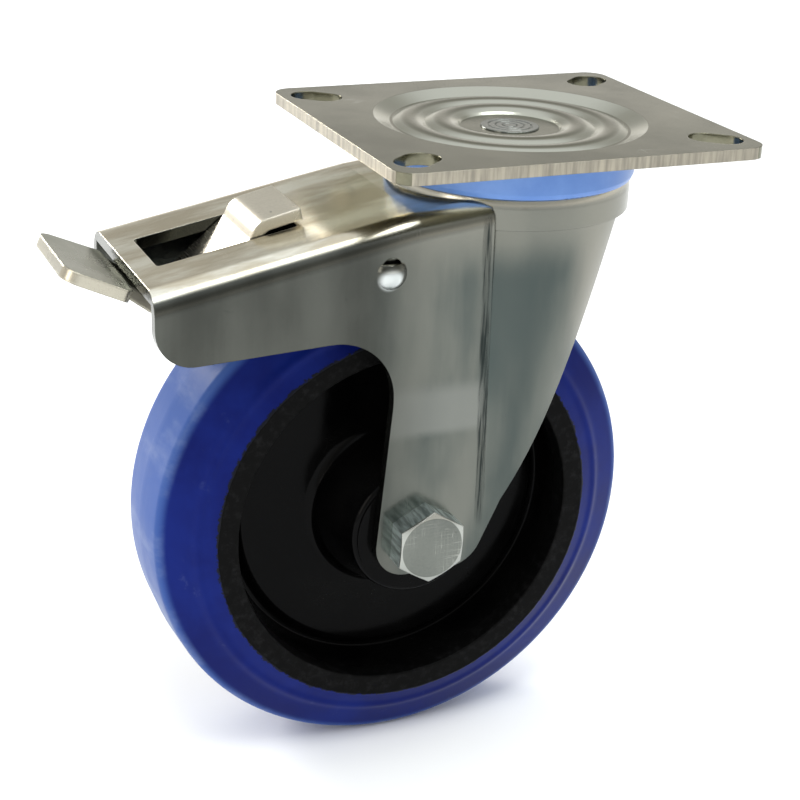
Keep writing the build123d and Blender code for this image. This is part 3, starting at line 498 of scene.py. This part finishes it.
def turnedHeadWithPaintedLight(tree, look, colour, rough, normal):
    radius, along = wheelRadius(tree)
    flat = between(tree, unsigned(tree, surfaceNormal(tree)[1]), *look["flatTilt"], 1, 0)
    rolled = noise(tree, placed(tree, scale=(1, 0.12, 1)), look["rolledScale"], detail=3, rough=0.6)
    # painted reflection on the flats, streaked along the rolling
    sides = mixColour(tree, between(tree, rolled, *look["rolledRange"]), look["flatShade"], look["flat"])
    colour = mixColour(tree, flat, colour, sides)
    rough = plus(tree, rough, times(tree, flat, look["flatRough"]))
    inFront = calc(tree, "LESS_THAN", along, look["chamferBehind"] * mm)
    # painted highlight on the chamfer in front of the face
    chamferHighlight = times(tree, betweenMm(tree, radius, *look["chamferFrom"]), inFront)
    colour = mixColour(tree, chamferHighlight, colour, look["chamferHighlight"])
    # turned rings: noise that runs with the radius only
    rings = addNode(tree, "CombineXYZ", inputs={0: radius}).outputs[0]
    rings = noise(tree, rings, look["ringScale"], detail=2, rough=0.6)
    return colour, rough, bump(tree, rings, 0.5, look["ringHeight"], normal)


# the brake lever: a painted highlight lifts its whole colour where it rises through the window; the toe
# outside the arm keeps a dull colour, with a painted highlight on its upright sides
leverLook = {
    **sheetLook,
    # painted highlight: the lever's colour is lifted where it rises through the window
    "bright": (0.80, 0.75, 0.64, 1),
    "dull": (0.58, 0.54, 0.45, 1),
    "roughness": (0.22, 0.34),
    "edgeRadius": 0.7,
    "toe": (0.195, 0.200, 0.150, 1),
    # painted highlight on the toe's upright sides
    "toeSideHighlight": (0.48, 0.45, 0.37, 1),
    "toeTilt": (0.55, 0.75),
    "toeAt": (-96, -90),
}


def leverPaintedLight(tree, look, colour, rough, normal):
    x = axes(tree, placed(tree))[0]
    upward = unsigned(tree, surfaceNormal(tree)[2])
    # the toe keeps a dull colour, with a painted highlight on its upright sides
    toe = mixColour(tree, between(tree, upward, *look["toeTilt"]), look["toeSideHighlight"], look["toe"])
    return mixColour(tree, betweenMm(tree, x, *look["toeAt"], 1, 0), colour, toe), rough, normal


# rubber: deep blue, faintly dusty, with turned lines round it and a smeared joint to the wheel centre
rubberLook = {
    "deep": (0.0010, 0.0060, 0.105, 1),
    "worn": (0.0040, 0.0150, 0.165, 1),
    "gloss": 0.10,
    "roughness": (0.30, 0.46),
    "cloudScale": 32,
    "cloudRange": (0.35, 0.65),
    "roughRange": (0.3, 0.7),
    "dust": (0.22, 0.28, 0.46, 1),
    "dustStrength": 0.10,
    "dustScale": 240,
    "dustRange": (0.62, 0.82),
    # painted sheen on the tread
    "tread": (0.055, 0.120, 0.380, 1),
    "treadSheenStrength": 0.85,
    "treadFrom": (59.5, 61.8),
    # painted highlight streaks on the tread, in the dust colour
    "treadHighlightStrength": 0.45,
    "scuffScale": 75,
    "scuffRange": (0.50, 0.70),
    "smear": (0.006, 0.007, 0.012, 1),
    "smearUpTo": (48.7, 49.0),
    "smearReach": 2.6,
    "smearScale": 650,
    "lineScale": 900,
    "lineHeight": 0.030,
    "grainScale": 1300,
    "grainHeight": 0.025,
    "waveScale": 50,
    "waveHeight": 0.08,
}


def wheelRubber(name, look):
    material, tree, shader = newMaterial(name, {"Specular IOR Level": look["gloss"]})
    flat = placed(tree)
    radius, along = wheelRadius(tree)
    cloud = noise(tree, flat, look["cloudScale"], detail=5, rough=0.6)
    colour = mixColour(tree, between(tree, cloud, *look["cloudRange"]), look["deep"], look["worn"])
    dust = noise(tree, flat, look["dustScale"], detail=4, rough=0.65)
    dust = between(tree, dust, *look["dustRange"], 0, look["dustStrength"])
    colour = mixColour(tree, dust, colour, look["dust"])
    # the tread is painted paler as painted sheen, with paler noise streaks on it as painted highlight
    tread = betweenMm(tree, radius, *look["treadFrom"], 0, look["treadSheenStrength"])
    colour = mixColour(tree, tread, colour, look["tread"])
    # painted highlight streaks on the tread
    scuffs = noise(tree, placed(tree, scale=(1, 0.35, 1)), look["scuffScale"], detail=5, rough=0.6)
    scuffs = between(tree, scuffs, *look["scuffRange"], 0, look["treadHighlightStrength"])
    colour = mixColour(tree, times(tree, scuffs, tread), colour, look["dust"])
    # black smears and crumbs where the blue meets the black
    crumbs = minus(tree, noise(tree, flat, look["smearScale"], detail=4, rough=0.7), 0.5)
    ragged = plus(tree, radius, times(tree, crumbs, look["smearReach"] * mm))
    colour = mixColour(tree, betweenMm(tree, ragged, *look["smearUpTo"], 1, 0), colour, look["smear"])
    rough = between(tree, cloud, *look["roughRange"], *look["roughness"])
    # turned lines: noise that runs with the radius and the place along the axle only
    rings = addNode(tree, "CombineXYZ", inputs={0: radius, 1: along}).outputs[0]
    lines = noise(tree, rings, look["lineScale"], detail=3, rough=0.6)
    grain = noise(tree, flat, look["grainScale"], detail=2, rough=0.5)
    waves = noise(tree, flat, look["waveScale"], detail=3, rough=0.5)
    normal = bump(tree, lines, 0.5, look["lineHeight"])
    normal = bump(tree, grain, 0.4, look["grainHeight"], normal)
    normal = bump(tree, waves, 1.0, look["waveHeight"], normal)
    joinShader(tree, shader, colour, rough, normal)
    return material


# moulded plastic; the wheel centre is glossy inside and matt on its flange
plasticLook = {
    "gloss": 0.5,
    "cloudScale": 45,
    "cloudRange": (0.35, 0.70),
    "roughRange": (0.3, 0.7),
    "grainScale": 1200,
}
nylonLook = {
    **plasticLook,
    "base": (0.0009, 0.0009, 0.0010, 1),
    "pale": (0.0026, 0.0026, 0.0026, 1),
    "gloss": 0.06,
    "roughness": (0.12, 0.20),
    "grainHeight": 0.008,
    "edgeRadius": 0.3,
    "flange": (0.0020, 0.0020, 0.0020, 1),
    "flangePale": (0.0110, 0.0110, 0.0115, 1),
    "flangeRoughness": 0.50,
    "flangeFrom": (42.6, 43.6),
    "scuffScale": 520,
    "scuffRange": (0.45, 0.80),
    "scuffHeight": 0.04,
}
sealLook = {
    **plasticLook,
    "base": (0.125, 0.280, 0.730, 1),
    "pale": (0.210, 0.390, 0.860, 1),
    "roughness": (0.30, 0.40),
    "grainHeight": 0.02,
    "edgeRadius": 0.3,
}
cageLook = {
    **plasticLook,
    "base": (0.55, 0.52, 0.44, 1),
    "pale": (0.66, 0.63, 0.55, 1),
    "roughness": (0.35, 0.50),
    "grainHeight": 0.03,
    "edgeRadius": 0.2,
}


def mouldedPlastic(name, look, ownDetail=None):
    material, tree, shader = newMaterial(name, {"Specular IOR Level": look["gloss"]})
    flat = placed(tree)
    cloud = noise(tree, flat, look["cloudScale"], detail=5, rough=0.6)
    colour = mixColour(tree, between(tree, cloud, *look["cloudRange"]), look["base"], look["pale"])
    rough = between(tree, cloud, *look["roughRange"], *look["roughness"])
    grain = noise(tree, flat, look["grainScale"], detail=3, rough=0.6)
    normal = bump(tree, grain, 0.6, look["grainHeight"], softEdges(tree, look["edgeRadius"]))
    if ownDetail:
        colour, rough, normal = ownDetail(tree, look, colour, rough, normal)
    joinShader(tree, shader, colour, rough, normal)
    return material


def mattFlange(tree, look, colour, rough, normal):
    flange = betweenMm(tree, wheelRadius(tree)[0], *look["flangeFrom"])
    scuffs = noise(tree, placed(tree), look["scuffScale"], detail=4, rough=0.7)
    matt = mixColour(tree, between(tree, scuffs, *look["scuffRange"]), look["flange"], look["flangePale"])
    colour = mixColour(tree, flange, colour, matt)
    rough = mixNumber(tree, flange, rough, look["flangeRoughness"])
    return colour, rough, bump(tree, scuffs, flange, look["scuffHeight"], normal)


# one finish for each material slot of the record, and one each for three nodes that have their own
finishes = {
    "stainless_sheet": sheetSteel("pressedSteel", sheetLook),
    "turned_steel": sheetSteel("turnedSteel", turnedLook),
    "bearing_steel": sheetSteel("bearingSteel", ballLook),
    "spring_steel": sheetSteel("springWire", wireLook),
    "lever_steel": sheetSteel("leverSteel", leverLook, leverPaintedLight),
    "blue_rubber": wheelRubber("blueRubber", rubberLook),
    "black_plastic": mouldedPlastic("blackNylon", nylonLook, mattFlange),
    "blue_plastic": mouldedPlastic("bluePlastic", sealLook),
    "cage_plastic": mouldedPlastic("cageNylon", cageLook),
}
ownFinish = {
    "top_plate": sheetSteel("plateSteel", plateLook, shearedRimAndDishHighlight),
    "fork": sheetSteel("forkSteel", forkLook, drawnSheetAndPaintedLight),
    "axle_bolt": sheetSteel("boltSteel", boltLook, turnedHeadWithPaintedLight),
}
for part in frame["record"]["subparts"]:
    mesh = nodes[part["node"]].data
    mesh.materials.clear()
    mesh.materials.append(ownFinish.get(part["node"], finishes[part["material_slot"]]))
print("finishes on the nodes")

# tyre, with its side ridges, rounded shoulders and the thin flash that laps on to the wheel centre. Radii and
# places along the axle are in millimetres; half means from the middle of the tread
tyreForm = {
    "treadRadius": 62.5,
    "treadHalf": 11.6,
    "crownDrop": 0.5,
    "shoulder": 1.6,
    "baseRadius": 48.7,
    "baseHalf": 17.8,
    "sideStop": 0.25,
    "ridge": 53.2,
    "ridgeRise": 0.42,
    "ridgeWidth": 1.1,
    "flash": 0.55,
    "flashRound": 0.4,
    "flashFace": 17.94,
    "flashBack": 17.6,
    "rootHalf": 15.0,
    "flashSeeds": (11, 12),
    "flashWaves": (3, 7, 13, 23, 41, 67, 97, 131),
    "waveFade": 0.35,
    "treadSteps": 9,
    "shoulderSteps": 9,
    "sideSteps": 44,
    "around": 400,
}


def tyreProfile(form):
    # half of the section, as radius and place along the axle. The tread's radius falls evenly from its
    # middle to the shoulder. The shoulder is a quadratic curve from there to the side, drawn towards the
    # sharp corner. The side runs straight down to the base, with a bell curve on it for the ridge
    tread = np.linspace(0, form["treadHalf"] - form["shoulder"], form["treadSteps"])
    treadRadius = form["treadRadius"] - form["crownDrop"] * tread / form["treadHalf"]
    edge = form["treadRadius"] - form["crownDrop"]
    slope = (form["baseHalf"] - form["treadHalf"]) / (edge - form["baseRadius"])
    turn = np.linspace(0, 1, form["shoulderSteps"])[1:-1]
    start = np.array([treadRadius[-1], tread[-1]])
    corner = np.array([edge, form["treadHalf"]])
    end = corner + np.array([-form["shoulder"], form["shoulder"] * slope])
    shoulder = np.outer((1 - turn) ** 2, start) + np.outer(2 * turn * (1 - turn), corner)
    shoulder += np.outer(turn**2, end)
    side = np.linspace(end[0], form["baseRadius"] + form["sideStop"], form["sideSteps"])
    sideAlong = form["baseHalf"] - slope * (side - form["baseRadius"])
    sideAlong += form["ridgeRise"] * np.exp(-(((side - form["ridge"]) / form["ridgeWidth"]) ** 2))
    radius = np.concatenate([treadRadius, shoulder[:, 0], side])
    along = np.concatenate([tread, shoulder[:, 1], sideAlong])
    return radius, along


def raggedEdge(form, angles, seed):
    # a closed uneven line from 0 to 1: a sum of sines that fit whole times round, the finer ones weaker
    chance = np.random.default_rng(seed)
    counts = np.array(form["flashWaves"])
    starts = chance.uniform(0, 2 * np.pi, counts.size)
    line = (np.sin(np.outer(angles, counts) + starts) / counts ** form["waveFade"]).sum(axis=1)
    return (line - line.min()) / (line.max() - line.min())


def ringMesh(name, radius, along):
    # radius and along are grids: rows go round the axle, columns along the closed section. A point is the axle
    # plus its radius times the cosine and sine of its row's angle
    steps, ring = radius.shape
    angles = np.linspace(0, 2 * np.pi, steps, endpoint=False)[:, None]
    points = [axleX + radius * np.cos(angles), along, axleZ + radius * np.sin(angles)]
    points = np.stack(points, axis=-1) * mm
    row, column = np.meshgrid(np.arange(steps), np.arange(ring), indexing="ij")
    nextRow, nextColumn = (row + 1) % steps, (column + 1) % ring
    corners = ((row, column), (row, nextColumn), (nextRow, nextColumn), (nextRow, column))
    faces = np.stack([cornerRow * ring + cornerColumn for cornerRow, cornerColumn in corners], axis=-1)
    mesh = bpy.data.meshes.new(name)
    mesh.from_pydata(points.reshape(-1, 3).tolist(), [], faces.reshape(-1, 4).tolist())
    mesh.shade_smooth()
    piece = bpy.data.objects.new(name, mesh)
    bpy.context.collection.objects.link(piece)
    return piece


def makeTyre(form, finish):
    # the half section is carried round the axle on both sides. Below it a thin lip laps inwards over the wheel
    # centre by the ragged line, and goes back under itself to the base, where the two sides join
    angles = np.linspace(0, 2 * np.pi, form["around"], endpoint=False)
    section = [np.tile(line, (form["around"], 1)) for line in tyreProfile(form)]
    lipHalves = np.array([form["flashFace"], form["flashFace"], form["flashBack"], form["rootHalf"]])
    sides = []
    for side, seed in zip((1, -1), form["flashSeeds"]):
        lap = form["flash"] * raggedEdge(form, angles, seed)[:, None]
        lipRadius = form["baseRadius"] - lap * [form["flashRound"], 1, 1, 0]
        lipAlong = np.tile(lipHalves, (form["around"], 1))
        sides.append((np.hstack([section[0], lipRadius]), side * np.hstack([section[1], lipAlong])))
    # columns run from the near side's root over the tread to the far side's root
    radius, along = (np.hstack([near[:, ::-1], far[:, 1:]]) for near, far in zip(*sides))
    tyre = ringMesh("tyreSkin", radius, along)
    tyre.data.materials.append(finish)
    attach(tyre, "wheel")
    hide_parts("tyre")


makeTyre(tyreForm, finishes["blue_rubber"])
print("tyre made")

# floor, light and surroundings; heights in the surroundings are those of the view direction, from -1 to 1
studio = {
    "floorHeight": -0.1576,
    "floorHalf": 14.0,
    "floorWhite": (1.0, 1.0, 1.0, 1),
    "floorColour": (0.80, 0.80, 0.80, 1),
    "below": (0.45, 0.44, 0.42, 1),
    "horizon": (1.05, 1.02, 0.96, 1),
    "horizonAt": (-0.3, 0.0),
    "belt": (0.50, 0.50, 0.47, 1),
    "beltAt": (0.14, 0.32),
    "above": (1.05, 1.09, 1.12, 1),
    "aboveAt": (0.48, 0.72),
}
lamps = {
    "overhead": {
        "place": (0.12, -0.28, 0.95),
        "target": (0, 0, -0.05),
        "size": (1.1, 0.4),
        "power": 6.5,
        "colour": (0.95, 0.99, 1.0),
    },
    "backBox": {
        "place": (-0.46, 0.88, 0.34),
        "target": (-0.05, 0, -0.04),
        "size": (0.40, 0.30),
        "power": 7.0,
        "colour": (1.0, 0.98, 0.95),
    },
    "leftFill": {
        "place": (-0.95, -0.30, 0.25),
        "target": (-0.03, 0, -0.07),
        "size": (0.4, 0.5),
        "power": 2.0,
        "colour": (1.0, 0.93, 0.84),
    },
}


def softLamp(name, look):
    # the lamp's back points away from its target, and its side lies level
    data = bpy.data.lights.new(name, "AREA")
    data.shape = "RECTANGLE"
    data.size, data.size_y = look["size"]
    data.energy = look["power"]
    data.color = look["colour"]
    lamp = bpy.data.objects.new(name, data)
    bpy.context.collection.objects.link(lamp)
    back = np.array(look["place"], float) - np.array(look["target"], float)
    back /= np.linalg.norm(back)
    side = np.cross((0, 0, 1), back)
    side /= np.linalg.norm(side)
    lamp.matrix_world = poseMatrix(side, np.cross(back, side), back, look["place"])


def layFloor(look):
    # the camera and the metal see a white floor with the shadow on it; other light meets a pale grey one
    half = look["floorHalf"]
    mesh = bpy.data.meshes.new("floor")
    corners = [(-half, -half, 0), (half, -half, 0), (half, half, 0), (-half, half, 0)]
    mesh.from_pydata(corners, [], [(0, 1, 2, 3)])
    floor = bpy.data.objects.new("floor", mesh)
    floor.location.z = look["floorHeight"]
    bpy.context.collection.objects.link(floor)
    material, tree, shader = newMaterial("paleFloor", {"Roughness": 0.9, "Specular IOR Level": 0.0})
    path = addNode(tree, "LightPath")
    seen = plus(tree, path.outputs["Is Camera Ray"], path.outputs["Is Glossy Ray"])
    seen = calc(tree, "ADD", seen, path.outputs["Is Transmission Ray"], clamp=True)
    tree.links.new(mixColour(tree, seen, look["floorColour"], look["floorWhite"]), shader.inputs["Base Color"])
    mesh.materials.append(material)


def fillWorld(look):
    # a plain room: pale near the floor, a darker belt above that, and pale again overhead
    world = bpy.data.worlds.new("studio")
    bpy.context.scene.world = world
    world.use_nodes = True
    tree = world.node_tree
    height = axes(tree, addNode(tree, "TexCoord").outputs["Generated"])[2]
    colour = look["below"]
    for place in ("horizon", "belt", "above"):
        colour = mixColour(tree, between(tree, height, *look[place + "At"]), colour, look[place])
    tree.links.new(colour, tree.nodes["Background"].inputs["Color"])


aimCamera(cameraLook)
layFloor(studio)
fillWorld(studio)
for lampName, lampLook in lamps.items():
    softLamp(lampName, lampLook)
bpy.context.scene.view_settings.view_transform = "Standard"
print("studio ready")
